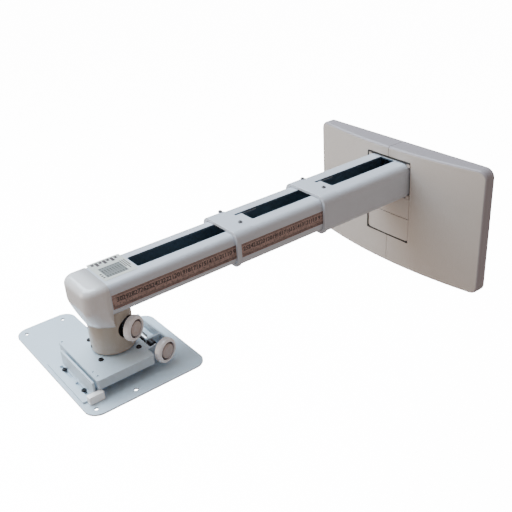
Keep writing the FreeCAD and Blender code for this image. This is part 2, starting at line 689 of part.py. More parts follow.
def yaw_bolt():
    """Bolt that the head turns on; its head rests inside the arm."""
    head = cylinder("yaw_head", "Z", "yaw_head_radius", "yaw_head_tall", "0", "column_y",
                    "column_top + tube_wall + thrust_gap")
    shank = cylinder("yaw_shank", "Z", "yaw_bolt_radius",
                     "column_top + tube_wall + 0.2 - yoke_top + yoke_thick",
                     "0", "column_y", "yoke_top - yoke_thick")
    node(fuse("yaw_bolt", head, shank), "yaw_bolt")


def pair_of_arms(name, across, low, high):
    """Two upright arms either side of the column's axis, across X or Y."""
    arms = []
    for index, sign in enumerate((-1, 1)):
        edges = [f"{sign} * arm_inner", f"{sign} * (arm_inner + arm_thick)"]
        span = tuple(edges[::sign])
        flat = ("-arm_half", "arm_half")
        x_range, y_range = (span, flat) if across == "X" else (flat, span)
        y_range = tuple(f"column_y + ({edge})" for edge in y_range)
        arms.append(box(f"{name}_arm_{index}", x_range, y_range, (low, high)))
    return arms


def upper_yoke():
    """Yoke that hangs from the yaw bolt and holds the tilt pins and the tilt knob's boss."""
    disc = cylinder("upper_disc", "Z", "yoke_radius", "yoke_thick", "0", "column_y",
                    "yoke_top - yoke_thick")
    arms = pair_of_arms("upper", "X", "-arm_half", "yoke_top - yoke_thick")
    boss = doc.addObject("Part::Box", "tilt_boss")
    boss.Length = 8
    boss.Width = 14
    boss.setExpression("Height", linked("yoke_top - yoke_thick - knob_z + 7"))
    radial(boss, size("tilt_knob_angle"), 22, size("knob_z") - 7)
    sideways = boss.Placement.Rotation.multVec(FreeCAD.Vector(0, -7, 0))
    boss.Placement.Base = boss.Placement.Base + sideways
    solid = fuse("upper_solid", disc, boss, *arms)
    pin_bore = cylinder("upper_pin_bore", "X", "stem_radius + shaft_gap", "80", "-40", "column_y", "0")
    bolt_bore = cylinder("upper_bolt_bore", "Z", "yaw_bolt_radius", "yoke_thick + 2", "0", "column_y",
                         "yoke_top - yoke_thick - 1")
    stem_bore = radial_cylinder("stem_bore", "stem_radius + shaft_gap", "9", "21.5")
    node(cut("upper_yoke", solid, fuse("upper_hollow", pin_bore, bolt_bore, stem_bore)), "upper_yoke")


def tilt_cross():
    """Cross with two pins for the tilt forward and back and two for the tilt sideways."""
    block = box("cross_block", ("-cross_half", "cross_half"),
                ("column_y - cross_half", "column_y + cross_half"),
                ("-cross_thick / 2", "cross_thick / 2"))
    reach = "2 * (arm_inner + arm_thick + 1.5)"
    along_x = cylinder("pitch_pins", "X", "stem_radius", reach, "-(arm_inner + arm_thick + 1.5)",
                       "column_y", "0")
    along_y = cylinder("roll_pins", "Y", "stem_radius", reach, "0",
                       "column_y - (arm_inner + arm_thick + 1.5)", "0")
    node(fuse("tilt_cross", block, along_x, along_y), "tilt_cross")


def lower_yoke():
    """Yoke that stands on the slide plate and holds the sideways tilt pins."""
    disc = cylinder("lower_disc", "Z", "flange_radius", "flange_thick", "0", "column_y", "slide_top")
    arms = pair_of_arms("lower", "Y", "slide_top + flange_thick", "arm_half")
    solid = fuse("lower_solid", disc, *arms)
    pin_bore = cylinder("lower_pin_bore", "Y", "stem_radius + shaft_gap", "80", "0", "column_y - 40", "0")
    node(cut("lower_yoke", solid, pin_bore), "lower_yoke")


def knob(name):
    """A round knob along +X from its own origin, with a dished ring in its face."""
    disc = cylinder(f"{name}_disc", "X", "knob_radius", "knob_thick")
    doc.recompute()
    face_x = size("knob_thick")

    def on_face(edge):
        return all(abs(point.x - face_x) < 1e-3 for point in edge.discretize(3))

    softened = rounded(f"{name}_round", disc, 3, on_face)
    dish = cylinder(f"{name}_dish", "X", "knob_radius - knob_dish", "knob_inset + 2",
                    x="knob_thick - knob_inset")
    bore = cylinder(f"{name}_bore", "X", "stem_radius", "knob_thick")
    return cut(name, softened, fuse(f"{name}_hollow", dish, bore))


def knob_cap(name):
    """Coloured disc in the middle of a knob's face, along +X from the knob's own origin."""
    body = doc.addObject("PartDesign::Body", name)
    sketch = sketch_on(body, SIDE, f"{name}_disc", offset="knob_thick - knob_inset")
    circles(sketch, "knob_radius - knob_cap_inset", [("0", "0")])
    extrude(body, sketch, "knob_inset")
    return body


def tilt_knob():
    """Knob, cap and stem that set the forward tilt."""
    hand = knob("tilt_knob")
    cap = knob_cap("tilt_knob_cap")
    for item in (hand, cap):
        radial(item, size("tilt_knob_angle"), size("knob_root"), size("knob_z"))
    node(hand, "tilt_knob")
    node(cap, "tilt_knob_cap")
    stem = radial_cylinder("tilt_stem", "stem_radius",
                           "knob_root + knob_thick - knob_inset - stem_start", "stem_start")
    node(stem, "tilt_stem")


def shift_knob():
    """Knob, cap and stem that move the projector sideways."""
    hand = knob("shift_knob")
    cap = knob_cap("shift_knob_cap")
    stem = plain_cylinder("shift_stem", "stem_radius", "shift_stem_long + knob_thick - knob_inset")
    for item in (hand, cap):
        point_out(item, size("shift_knob_angle"), size("shift_knob_x"), size("shift_knob_y"),
                  size("lead_z"))
    stem_start = shift_axis_point(-size("shift_stem_long"))
    point_out(stem, size("shift_knob_angle"), *stem_start)
    node(hand, "shift_knob")
    node(cap, "shift_knob_cap")
    node(stem, "shift_stem")


def shift_axis_point(distance):
    """A point on the shift knob's axis, a distance out from the knob's root."""
    angle = math.radians(size("shift_knob_angle"))
    return (size("shift_knob_x") + distance * math.cos(angle),
            size("shift_knob_y") + distance * math.sin(angle),
            size("lead_z"))


def lead_screw():
    """Lead screw across the slide, with the universal joint that the knob's stem drives."""
    screw_rod = cylinder("lead_screw", "X", "stem_radius", "rear_half + lead_end", "-rear_half",
                         "lead_y", "lead_z")
    node(screw_rod, "lead_screw")
    sleeve = cylinder("universal_sleeve", "X", "sleeve_radius", "sleeve_end - sleeve_start",
                      "sleeve_start",
                      "lead_y", "lead_z")
    bore = cylinder("sleeve_bore", "X", "stem_radius", "lead_end - sleeve_start", "sleeve_start",
                    "lead_y", "lead_z")
    node(cut("universal_joint", sleeve, bore), "universal_joint")


# ---------------------------------------------------------------- slide

def screw_spots():
    """The four places of the black screws on the slide plate, on a circle round the column."""
    return [(f"screw_circle * cos(screw_turn + {angle})",
             f"column_y + screw_circle * sin(screw_turn + {angle})")
            for angle in (45, 135, 225, 315)]


def slide_plate():
    """Folded plate with skirts all round; its rear is a narrower open tray for the lead screw."""
    low = "slide_top - slide_tall"
    front_part = prism("slide_front_part", PLAN, "slide_right - slide_left",
                       "slide_notch - slide_front", "4",
                       low, "slide_tall", u="(slide_right + slide_left) / 2",
                       v="(slide_notch + slide_front) / 2")
    rear_part = box("slide_rear_part", ("-rear_half", "rear_half"), ("slide_notch - 10", "slide_rear"),
                    (low, "slide_top"))
    inside = ("-rear_half + slide_skin", "rear_half - slide_skin")
    room_front = box("slide_room_front", ("slide_left + slide_skin", "slide_right - slide_skin"),
                     ("slide_front + slide_skin", "slide_notch - slide_skin"),
                     (f"{low} - 1", "slide_top - slide_skin"))
    room_rear = box("slide_room_rear", inside, ("slide_notch - 12", "slide_rear - slide_skin"),
                    (f"{low} - 1", "slide_top - slide_skin"))
    tray = box("slide_tray", inside, ("tray_front", "slide_rear - slide_skin"),
               (f"{low} - 1", "slide_top + 1"))
    web = box("slide_web", ("web_start", "web_end"), ("web_front", "slide_rear - slide_skin / 2"),
              (low, "slide_top"))
    lead_bore = cylinder("lead_bore", "X", "stem_radius + shaft_gap", "rear_half + web_end + 6",
                         "-rear_half - 5",
                         "lead_y", "lead_z")
    stem_bore = plain_cylinder("shift_stem_bore", "stem_radius + shaft_gap", "16")
    point_out(stem_bore, size("shift_knob_angle"), *shift_axis_point(-18))
    spare_spots = (("slide_left + 4", "slide_front + 5"), ("slide_right - 26", "slide_front + 6"),
                   ("slide_right - 12.5", "slide_front + 7"))
    ways = [cylinder(f"slide_way_{index}", "Z", "slide_screw_shank", "10", x, y, "slide_top - 6")
            for index, (x, y) in enumerate(screw_spots())]
    ways += [cylinder(f"slide_spare_{index}", "Z", "spare_hole", "10", x, y, "slide_top - 6")
             for index, (x, y) in enumerate(spare_spots)]
    solid = fuse("slide_solid", front_part, rear_part)
    shell = cut("slide_shell", solid, fuse("slide_hollow", room_front, room_rear, tray, *ways))
    webbed = fuse("slide_webbed", shell, web)
    node(cut("slide_plate", webbed, fuse("slide_bores", lead_bore, stem_bore)), "slide_plate")


def rod_spots():
    """Where the two guide rods run."""
    return ("column_y - rod_across", "column_y + rod_across")


def guide_rods():
    """Two steel rods under the slide plate that the bearings run on."""
    rods = [cylinder(f"guide_rod_{index}", "X", "rod_radius", "2 * rod_half", "-rod_half", y, "rod_z")
            for index, y in enumerate(rod_spots())]
    node(group("guide_rods", rods), "guide_rods")


def rod_clamps():
    """Four blocks that hold the ends of the rods under the slide plate."""
    clamps = []
    spots = [(x, y) for x in ("-clamp_x", "clamp_x") for y in rod_spots()]
    for index, (x, y) in enumerate(spots):
        low = "slide_top - slide_skin - clamp_tall"
        block = box(f"clamp_block_{index}", (f"{x} - clamp_width / 2", f"{x} + clamp_width / 2"),
                    (f"{y} - clamp_half_depth", f"{y} + clamp_half_depth"),
                    (low, "slide_top - slide_skin"))
        bore = cylinder(f"clamp_bore_{index}", "X", "rod_radius", "clamp_width + 2",
                        f"{x} - clamp_width / 2 - 1",
                        y, "rod_z")
        clamps.append(cut(f"clamp_{index}", block, bore))
    node(group("rod_clamps", clamps), "rod_clamps")


def slide_screws():
    """Four black screws through the skin of the slide plate."""
    screws = [screw(f"slide_screw_{index}", "Z", "slide_screw_head", "slide_screw_tall",
                    "slide_screw_shank",
                    "slide_skin", x, y, "slide_top")
              for index, (x, y) in enumerate(screw_spots())]
    node(group("slide_screws", screws), "slide_screws")


# ---------------------------------------------------------------- projector plate

def rod_bearings():
    """Two bearing blocks on the projector plate that run on the rods."""
    blocks = []
    for index, y in enumerate(rod_spots()):
        block = box(f"bearing_block_{index}", ("bearing_left", "bearing_right"),
                    (f"{y} - clamp_half_depth", f"{y} + clamp_half_depth"),
                    ("projector_top", "bearing_top"))
        bore = cylinder(f"bearing_bore_{index}", "X", "rod_radius + shaft_gap", "40",
                        "bearing_left - 5", y, "rod_z")
        blocks.append(cut(f"bearing_{index}", block, bore))
    node(group("rod_bearings", blocks), "rod_bearings")


def lead_nut():
    """Nut block on the projector plate that the lead screw turns in."""
    block = box("nut_block", ("-nut_half", "nut_half"),
                ("lead_y - nut_half_depth", "lead_y + nut_half_depth"),
                ("projector_top", "nut_top"))
    bore = cylinder("nut_bore", "X", "stem_radius + shaft_gap", "4 * nut_half", "-2 * nut_half",
                    "lead_y", "lead_z")
    node(cut("lead_nut", block, bore), "lead_nut")


def projector_plate():
    """Wide steel plate with a stepped rear edge that the projector is bolted under."""
    low = "projector_top - projector_thick"
    front_part = box("projector_front_part", ("projector_left", "projector_right"),
                     ("projector_front", "projector_step_y"), (low, "projector_top"))
    rear_part = box("projector_rear_part", ("projector_step_x", "projector_right"),
                    ("projector_step_y - 5", "projector_rear"), (low, "projector_top"))
    flat = fuse("projector_flat", front_part, rear_part)
    flat.Refine = True
    softened = rounded("projector_softened", flat, size("projector_round"), is_along_z)
    spots = [(x, y) for x in ("projector_hole_left", "projector_hole_right")
             for y in ("projector_hole_front", "projector_hole_rear")]
    ways = [cylinder(f"projector_way_{index}", "Z", "projector_hole_radius", "10", x, y, f"{low} - 3")
            for index, (x, y) in enumerate(spots)]
    node(cut("projector_plate", softened, fuse("projector_ways", *ways)), "projector_plate")


def front_rail():
    """Folded rail along the front of the slide, with slots in its foot."""
    foot = box("rail_foot", ("rail_left", "rail_right"), ("rail_foot_front", "rail_web_rear"),
               ("projector_top", "projector_top + rail_thick"))
    web = box("rail_web", ("lip_left", "rail_right"), ("rail_web_front", "rail_web_rear"),
              ("projector_top", "rail_top"))
    slots = [prism(f"rail_slot_{index}", PLAN, "rail_slot_long", "rail_slot_wide",
                   "rail_slot_wide / 2 - 0.1", "projector_top - 1",
                   "rail_thick + 3", u=f"{x} + 6", v="rail_screw_y")
             for index, x in enumerate(("rail_screw_left", "rail_screw_right - 12"))]
    node(cut("front_rail", fuse("rail_solid", foot, web), fuse("rail_slots", *slots)), "front_rail")


def rail_screws():
    """Black screws in the slots of the front rail."""
    screws = [cylinder(f"rail_screw_{index}", "Z", "slide_screw_head", "slide_screw_tall", x,
                       "rail_screw_y",
                       "projector_top + rail_thick")
              for index, x in enumerate(("rail_screw_left", "rail_screw_right"))]
    node(group("rail_screws", screws), "rail_screws")


def rail_end_block():
    """White block that closes the end of the front rail."""
    body = prism("rail_end_block", PLAN, "end_block_wide", "end_block_deep", "2", "projector_top",
                 "end_block_tall",
                 u="rail_right + end_block_wide / 2", v="end_block_y")
    node(body, "rail_end_block")


def build_all():
    """Builds every sub-part."""
    wall_plate()
    arm_bracket()
    bracket_bolts()
    wall_covers()
    cover_studs()
    arm_sections()
    top_label()
    end_cap()
    column_housing()
    column_grub()
    housing_screws()
    thrust_washer()
    yaw_bolt()
    upper_yoke()
    tilt_cross()
    lower_yoke()
    tilt_knob()
    shift_knob()
    lead_screw()
    slide_plate()
    guide_rods()
    rod_clamps()
    slide_screws()
    rod_bearings()
    lead_nut()
    projector_plate()
    front_rail()
    rail_screws()
    rail_end_block()


def check_and_write():
    """Stops on a failed object or a bad solid, then writes one file for each sub-part."""
    doc.recompute()
    failed = [item.Name for item in doc.Objects if {"Invalid", "Error"} & set(item.State)]
    if failed:
        raise RuntimeError(f"failed objects: {failed}")
    for item in finished:
        if item.Shape.isNull() or not item.Shape.isValid() or not item.Shape.Solids:
            raise RuntimeError(f"bad shape: {item.Label}")
    os.makedirs("parts", exist_ok=True)
    for item in finished:
        item.Shape.exportStep(f"parts/{item.Label}.step")
        print(f"{item.Label}: {len(item.Shape.Solids)} solids, {item.Shape.Volume / 1000:.1f} cm3")


build_all()
check_and_write()
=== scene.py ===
"""Looks of the telescopic projector arm: camera, soft studio light, materials and fine pieces."""

import json
import math

import bmesh
import bpy
from mathutils import Matrix, Vector


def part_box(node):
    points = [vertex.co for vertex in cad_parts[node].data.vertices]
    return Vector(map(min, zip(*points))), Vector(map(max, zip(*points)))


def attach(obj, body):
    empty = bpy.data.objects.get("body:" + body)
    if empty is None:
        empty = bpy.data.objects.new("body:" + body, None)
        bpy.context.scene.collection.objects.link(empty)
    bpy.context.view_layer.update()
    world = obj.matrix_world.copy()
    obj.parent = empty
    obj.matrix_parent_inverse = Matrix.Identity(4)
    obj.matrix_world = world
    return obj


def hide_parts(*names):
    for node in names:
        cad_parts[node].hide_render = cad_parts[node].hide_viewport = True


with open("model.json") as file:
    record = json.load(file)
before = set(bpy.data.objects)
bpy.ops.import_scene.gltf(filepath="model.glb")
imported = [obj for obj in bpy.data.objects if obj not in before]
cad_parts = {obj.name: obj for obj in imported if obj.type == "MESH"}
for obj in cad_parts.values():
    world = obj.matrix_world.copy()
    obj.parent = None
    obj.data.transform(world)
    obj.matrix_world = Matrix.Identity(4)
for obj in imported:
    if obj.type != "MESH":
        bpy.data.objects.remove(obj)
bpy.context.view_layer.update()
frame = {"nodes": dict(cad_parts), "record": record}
nodes = frame["nodes"]
record = frame["record"]
body_of = {node: body for body, names in record["behaviour"]["bodies"].items() for node in names}
slot_of = {row["node"]: row["material_slot"] for row in record["subparts"]}
scene = bpy.context.scene

MM = 0.001
FULL_TURN = 2 * math.pi
QUARTER_TURN = math.pi / 2
WHITE = (1.0, 1.0, 1.0, 1)


# ---------------------------------------------------------------- camera, light and floor

CAMERA_AZIMUTH = math.radians(54.13)
CAMERA_ELEVATION = math.radians(28.55)
CAMERA_ROLL = math.radians(-4.04)
CAMERA_PLACE = Vector((0.9168, -1.0329, 0.6284))
CAMERA_LENS = 51.98
SENSOR_WIDTH = 36

# Name, place, target, size, power and colour of each soft box: a large one overhead to the far side,
# and a weak one from the front left.
LIGHTS = (
    ("key", (-1.3, -0.8, 2.2), (0, -0.4, 0), 2.2, 180, (0.76, 0.89, 1.0)),
    ("front", (-1.2, -2.4, 0.5), (-0.1, -0.1, 0), 1.2, 26, (1.0, 0.86, 0.72)),
)
SURROUND_COLOUR = (1.0, 0.87, 0.80, 1)
SURROUND_STRENGTH = 0.50

FLOOR_Z = -0.62
FLOOR_HALF = 9.0
FLOOR_GLOW = 14.0
BACKDROP_RADIUS = 8.0
BACKDROP_HEIGHT = 30.0
BACKDROP_STEPS = 64
BACKDROP_LIFT = 0.002
SWEEP_RADIUS = 1.5
SWEEP_STEPS = 8


def make_camera():
    """A camera at the viewing angle of the reference, with no shift and no depth of field."""
    azimuth, elevation, roll = CAMERA_AZIMUTH, CAMERA_ELEVATION, CAMERA_ROLL
    back = Vector((math.sin(azimuth) * math.cos(elevation),
                   -math.cos(azimuth) * math.cos(elevation),
                   math.sin(elevation)))
    right = (-back).cross(Vector((0, 0, 1))).normalized()
    up = right.cross(-back)
    tilted_right = right * math.cos(roll) + up * math.sin(roll)
    tilted_up = up * math.cos(roll) - right * math.sin(roll)
    data = bpy.data.cameras.new("camera")
    data.lens = CAMERA_LENS
    data.sensor_width = SENSOR_WIDTH
    camera = bpy.data.objects.new("camera", data)
    turn = Matrix((tilted_right, tilted_up, back)).transposed().to_4x4()
    camera.matrix_world = Matrix.Translation(CAMERA_PLACE) @ turn
    scene.collection.objects.link(camera)
    scene.camera = camera


def area_light(name, place, target, size, power, colour):
    """A square soft box that faces a target."""
    data = bpy.data.lights.new(name, "AREA")
    data.size = size
    data.energy = power
    data.color = colour
    light = bpy.data.objects.new(name, data)
    light.location = place
    light.rotation_mode = "QUATERNION"
    light.rotation_quaternion = (Vector(target) - Vector(place)).to_track_quat("-Z", "Y")
    scene.collection.objects.link(light)


def make_light():
    """The soft boxes and an even surround."""
    for row in LIGHTS:
        area_light(*row)
    world = bpy.data.worlds.new("studio")
    world.use_nodes = True
    background = world.node_tree.nodes["Background"]
    background.inputs["Color"].default_value = SURROUND_COLOUR
    background.inputs["Strength"].default_value = SURROUND_STRENGTH
    scene.world = world


def make_floor():
    """A wide, plain pale floor well below the arm, and a backdrop of the same paint. Both glow, so that
    they stay near white, and neither lights the object."""
    low, high = -FLOOR_HALF, FLOOR_HALF
    mesh = bpy.data.meshes.new("floor")
    mesh.from_pydata(level_patch(FLOOR_Z, low, high, low, high), [], [(0, 1, 2, 3)])
    floor = bpy.data.objects.new("floor", mesh)
    scene.collection.objects.link(floor)
    paint = Shader("floor_pale", (0.93, 0.93, 0.93), 0.9)
    paint.mottle(3.0, 0.01)
    paint.set("Emission Color", WHITE)
    paint.set("Emission Strength", FLOOR_GLOW)
    wall = make_backdrop()
    for item in (floor, wall):
        item.data.materials.append(paint.material)
        item.visible_diffuse = False
        item.visible_glossy = False
    wall.visible_shadow = False


def make_backdrop():
    """A round wall that sweeps up from the floor, seen only behind the object."""
    outline = []
    for step in range(SWEEP_STEPS + 1):
        angle = QUARTER_TURN * step / SWEEP_STEPS
        outline.append((BACKDROP_RADIUS - SWEEP_RADIUS * (1 - math.sin(angle)),
                        FLOOR_Z + SWEEP_RADIUS * (1 - math.cos(angle)) + BACKDROP_LIFT))
    outline.append((BACKDROP_RADIUS, FLOOR_Z + BACKDROP_HEIGHT))
    shape = bmesh.new()
    rings = [circle(shape, reach, BACKDROP_STEPS, (0, 0, z)) for reach, z in outline]
    join_rings(shape, rings)
    mesh = bpy.data.meshes.new("backdrop")
    shape.to_mesh(mesh)
    shape.free()
    mesh.shade_smooth()
    wall = bpy.data.objects.new("backdrop", mesh)
    scene.collection.objects.link(wall)
    return wall


# ---------------------------------------------------------------- materials

NOISE_LOW = 0.3
NOISE_HIGH = 0.7
NOISE_DETAIL = 3.0
GRAIN_DETAIL = 2.0
MOTTLE_SHARE = 0.5
MOTTLE_CONTRAST = 4


class Shader:
    """A principled material whose colour, roughness and relief are built up from noise."""

    def __init__(self, name, colour, roughness, coat=0.0, metallic=0.0):
        self.material = bpy.data.materials.new(name)
        self.material.use_nodes = True
        self.tree = self.material.node_tree
        self.shader = self.tree.nodes["Principled BSDF"]
        self.place = self.tree.nodes.new("ShaderNodeTexCoord").outputs["Object"]
        self.set("Base Color", (*colour, 1))
        self.set("Roughness", roughness)
        self.set("Metallic", metallic)
        self.set("Coat Weight", coat)
        self.colour = colour
        self.roughness = roughness
        self.colour_out = None

    def set(self, socket, value):
        """A uniform value on one of the shader's own sockets."""
        self.shader.inputs[socket].default_value = value

    def node(self, kind, **values):
        """A new node with some of its settings."""
        made = self.tree.nodes.new(kind)
        for key, value in values.items():
            setattr(made, key, value)
        return made

    def link(self, out, into):
        self.tree.links.new(out, into)

    def noise(self, scale, detail=NOISE_DETAIL, stretch=(1, 1, 1)):
        """Noise over the object's own coordinates, in features per metre."""
        mapping = self.node("ShaderNodeMapping")
        mapping.inputs["Scale"].default_value = stretch
        self.link(self.place, mapping.inputs["Vector"])
        texture = self.node("ShaderNodeTexNoise")
        texture.inputs["Scale"].default_value = scale
        texture.inputs["Detail"].default_value = detail
        self.link(mapping.outputs["Vector"], texture.inputs["Vector"])
        return texture.outputs["Fac"]

    def current_colour(self):
        """The colour as mixed so far."""
        if self.colour_out is not None:
            return self.colour_out
        flat = self.node("ShaderNodeRGB")
        flat.outputs[0].default_value = (*self.colour, 1)
        return flat.outputs[0]

    def tint(self, factor, colour):
        """Mixes another colour in where the factor is high."""
        mix = self.node("ShaderNodeMix", data_type="RGBA")
        self.link(factor, mix.inputs["Factor"])
        self.link(self.current_colour(), mix.inputs["A"])
        mix.inputs["B"].default_value = (*colour, 1)
        self.colour_out = mix.outputs["Result"]
        self.link(self.colour_out, self.shader.inputs["Base Color"])

    def ramp(self, factor, low, high, to_low=0.0, to_high=1.0):
        """The factor stretched from one span to another."""
        spread = self.node("ShaderNodeMapRange")
        spread.inputs["From Min"].default_value = low
        spread.inputs["From Max"].default_value = high
        spread.inputs["To Min"].default_value = to_low
        spread.inputs["To Max"].default_value = to_high
        self.link(factor, spread.inputs["Value"])
        return spread.outputs["Result"]

    def math(self, operation, first, second=0.0):
        """One step of arithmetic on outputs or plain numbers."""
        made = self.node("ShaderNodeMath", operation=operation)
        for value, socket in ((first, made.inputs[0]), (second, made.inputs[1])):
            if isinstance(value, (int, float)):
                socket.default_value = value
            else:
                self.link(value, socket)
        return made.outputs[0]

    def mottle(self, scale, amount):
        """Slow, faint changes of shade."""
        factor = self.ramp(self.noise(scale), NOISE_LOW, NOISE_HIGH, 0.0, MOTTLE_SHARE)
        self.tint(factor, tuple(max(0.0, c * (1 - MOTTLE_CONTRAST * amount)) for c in self.colour))

    def grain(self, scale, depth, stretch=(1, 1, 1)):
        """Relief of a given depth in metres."""
        bump = self.node("ShaderNodeBump")
        bump.inputs["Strength"].default_value = 1.0
        bump.inputs["Distance"].default_value = depth
        self.link(self.noise(scale, GRAIN_DETAIL, stretch), bump.inputs["Height"])
        self.link(bump.outputs["Normal"], self.shader.inputs["Normal"])

    def uneven_gloss(self, scale, spread):
        """Roughness that changes a little over the surface."""
        out = self.ramp(self.noise(scale), NOISE_LOW, NOISE_HIGH,
                        self.roughness - spread, self.roughness + spread)
        self.link(out, self.shader.inputs["Roughness"])


# Materials that need no mask: colour, roughness, coat and metallic where there is any, and then mottle
# (features per metre, contrast), gloss (features per metre, spread of roughness) and grain (features
# per metre, depth in metres, stretch of the noise where it isn't even).
PLAIN = {
    "cap_plastic": {"colour": (0.70, 0.705, 0.72), "roughness": 0.24, "coat": 0.35,
                    "mottle": (18.0, 0.01), "grain": (700.0, 1e-5)},
    "column_paint": {"colour": (0.42, 0.385, 0.335), "roughness": 0.34, "coat": 0.15,
                     "mottle": (30.0, 0.02), "grain": (1400.0, 2e-5)},
    "head_paint": {"colour": (0.53, 0.645, 0.74), "roughness": 0.40,
                   "mottle": (20.0, 0.02), "gloss": (50.0, 0.05), "grain": (1500.0, 2e-5)},
    "knob_white": {"colour": (0.90, 0.91, 0.94), "roughness": 0.22, "coat": 0.5,
                   "mottle": (60.0, 0.01), "grain": (900.0, 1e-5)},
    "knob_tan": {"colour": (0.50, 0.44, 0.42), "roughness": 0.45,
                 "mottle": (120.0, 0.03), "grain": (1100.0, 4e-5)},
    "gloss_white": {"colour": (0.95, 0.95, 0.94), "roughness": 0.12, "coat": 0.6,
                    "mottle": (50.0, 0.005)},
    "zinc_steel": {"colour": (0.60, 0.61, 0.62), "roughness": 0.34, "metallic": 1.0,
                   "mottle": (80.0, 0.03), "gloss": (150.0, 0.08),
                   "grain": (2200.0, 1e-5, (1, 6, 1))},
    "dark_steel": {"colour": (0.035, 0.037, 0.042), "roughness": 0.45, "metallic": 0.6,
                   "mottle": (90.0, 0.05), "grain": (1500.0, 2e-5)},
    "mid_steel": {"colour": (0.17, 0.175, 0.185), "roughness": 0.40, "metallic": 0.5,
                  "mottle": (90.0, 0.05), "grain": (1500.0, 2e-5)},
    "black_screw": {"colour": (0.018, 0.020, 0.024), "roughness": 0.38, "metallic": 0.5,
                    "mottle": (200.0, 0.05), "grain": (2500.0, 1e-5)},
    "black_plastic": {"colour": (0.02, 0.02, 0.022), "roughness": 0.5,
                      "mottle": (100.0, 0.05), "grain": (1300.0, 3e-5)},
    "groove_grey": {"colour": (0.085, 0.07, 0.068), "roughness": 0.5,
                    "mottle": (120.0, 0.04), "grain": (1300.0, 2e-5)},
    "white_nylon": {"colour": (0.80, 0.79, 0.75), "roughness": 0.5,
                    "mottle": (70.0, 0.02), "grain": (1200.0, 2e-5)},
    "scale_ink": {"colour": (0.03, 0.02, 0.02), "roughness": 0.5, "mottle": (200.0, 0.05)},
    "label_grey": {"colour": (0.14, 0.155, 0.15), "roughness": 0.4,
                   "mottle": (120.0, 0.03), "grain": (1200.0, 1e-5)},
    "label_film": {"colour": (0.55, 0.57, 0.53), "roughness": 0.35,
                   "mottle": (90.0, 0.02), "grain": (1200.0, 1e-5)},
}


def plain_material(name):
    """A material from its row of the table."""
    row = PLAIN[name]
    surface = Shader(name, row["colour"], row["roughness"], row.get("coat", 0.0),
                     row.get("metallic", 0.0))
    surface.mottle(*row["mottle"])
    if "gloss" in row:
        surface.uneven_gloss(*row["gloss"])
    if "grain" in row:
        surface.grain(*row["grain"])
    return surface.material


# Outer corner radius of each tube, half width of the cable slot, depth to which paint reaches into the
# slot and depth from which a face is inside the tube, all in millimetres; deeper than these the colour
# is painted shade, near black.
TUBE_ROUND = {"outer_tube": 13, "middle_tube": 12, "inner_tube": 11}
SLOT_HALF = 18.2
PAINT_DEPTH = 0.4
INSIDE_DEPTH = 2.6
# Colour of the painted shade inside the tubes and in their cable slots.
TUBE_SHADE_COLOUR = (0.10, 0.15, 0.20)


def arm_paint(name, tube=None):
    """Satin powder coat, pale with a cool cast; a tube gets near black painted shade inside and in its
    slot.
    """
    paint = Shader(name, (0.535, 0.575, 0.635), 0.34, coat=0.2)
    paint.mottle(14.0, 0.012)
    paint.uneven_gloss(60.0, 0.05)
    paint.grain(1600.0, 2e-5)
    if tube:
        # Painted shade, near black, inside the tube and in its cable slot.
        paint.tint(tube_shade_mask(paint, tube), TUBE_SHADE_COLOUR)
    return paint.material


def tube_shade_mask(paint, tube):
    """A mask of painted shade: one deeper than the paint, inside the tube and in its cable slot."""
    low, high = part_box(tube)
    round_corner = TUBE_ROUND[tube] * MM
    split, reach = outline_reach(paint, low, high, round_corner)
    deep = paint.math("LESS_THAN", reach, round_corner - PAINT_DEPTH * MM)
    across = paint.math("LESS_THAN", paint.math("ABSOLUTE", split.outputs["X"]), SLOT_HALF * MM)
    below_top = paint.math("LESS_THAN", split.outputs["Z"], high.z - PAINT_DEPTH * MM)
    inside = paint.math("LESS_THAN", reach, round_corner - INSIDE_DEPTH * MM)
    in_slot = paint.math("MULTIPLY", deep, paint.math("MULTIPLY", across, below_top))
    return paint.math("MAXIMUM", inside, in_slot)


def outline_reach(paint, low, high, round_corner):
    """Separated coordinates, and how far a point lies beyond the straight-sided core of a rounded
    rectangle in X and Z; it equals the corner radius on the outline."""
    split = paint.node("ShaderNodeSeparateXYZ")
    paint.link(paint.place, split.inputs[0])
    beyond = []
    for axis, middle, half in (("X", (high.x + low.x) / 2, (high.x - low.x) / 2),
                               ("Z", (high.z + low.z) / 2, (high.z - low.z) / 2)):
        offset = paint.math("ABSOLUTE", paint.math("SUBTRACT", split.outputs[axis], middle))
        over = paint.math("MAXIMUM", paint.math("SUBTRACT", offset, half - round_corner), 0.0)
        beyond.append(paint.math("MULTIPLY", over, over))
    return split, paint.math("SQRT", paint.math("ADD", *beyond))


# The cover's corner radius, and how far in from its outline the painted shade on the rim begins and is
# full, in millimetres.
COVER_ROUND = 17
RIM_SHADE_BEGINS = 4.5
RIM_SHADE_FULL = 2.5
# Share and colour of the painted shade on the cover's rim.
RIM_SHADE_SHARE = 0.8
RIM_SHADE_COLOUR = (0.24, 0.225, 0.26)


def cover_plastic(name):
    """Fine textured moulding, warm pale grey, with painted shade on the rim: slightly darker and cooler.
    """
    plastic = Shader(name, (0.52, 0.48, 0.445), 0.42)
    plastic.mottle(9.0, 0.012)
    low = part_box("wall_cover_left")[0]
    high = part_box("wall_cover_right")[1]
    _, reach = outline_reach(plastic, low, high, COVER_ROUND * MM)
    # Painted shade on the rounded rim: darker and cooler near the outline.
    rim_shade = plastic.ramp(reach, (COVER_ROUND - RIM_SHADE_BEGINS) * MM, (COVER_ROUND - RIM_SHADE_FULL) * MM,
                       0.0, RIM_SHADE_SHARE)
    plastic.tint(rim_shade, RIM_SHADE_COLOUR)
    plastic.uneven_gloss(40.0, 0.05)
    plastic.grain(900.0, 4e-5)
    return plastic.material


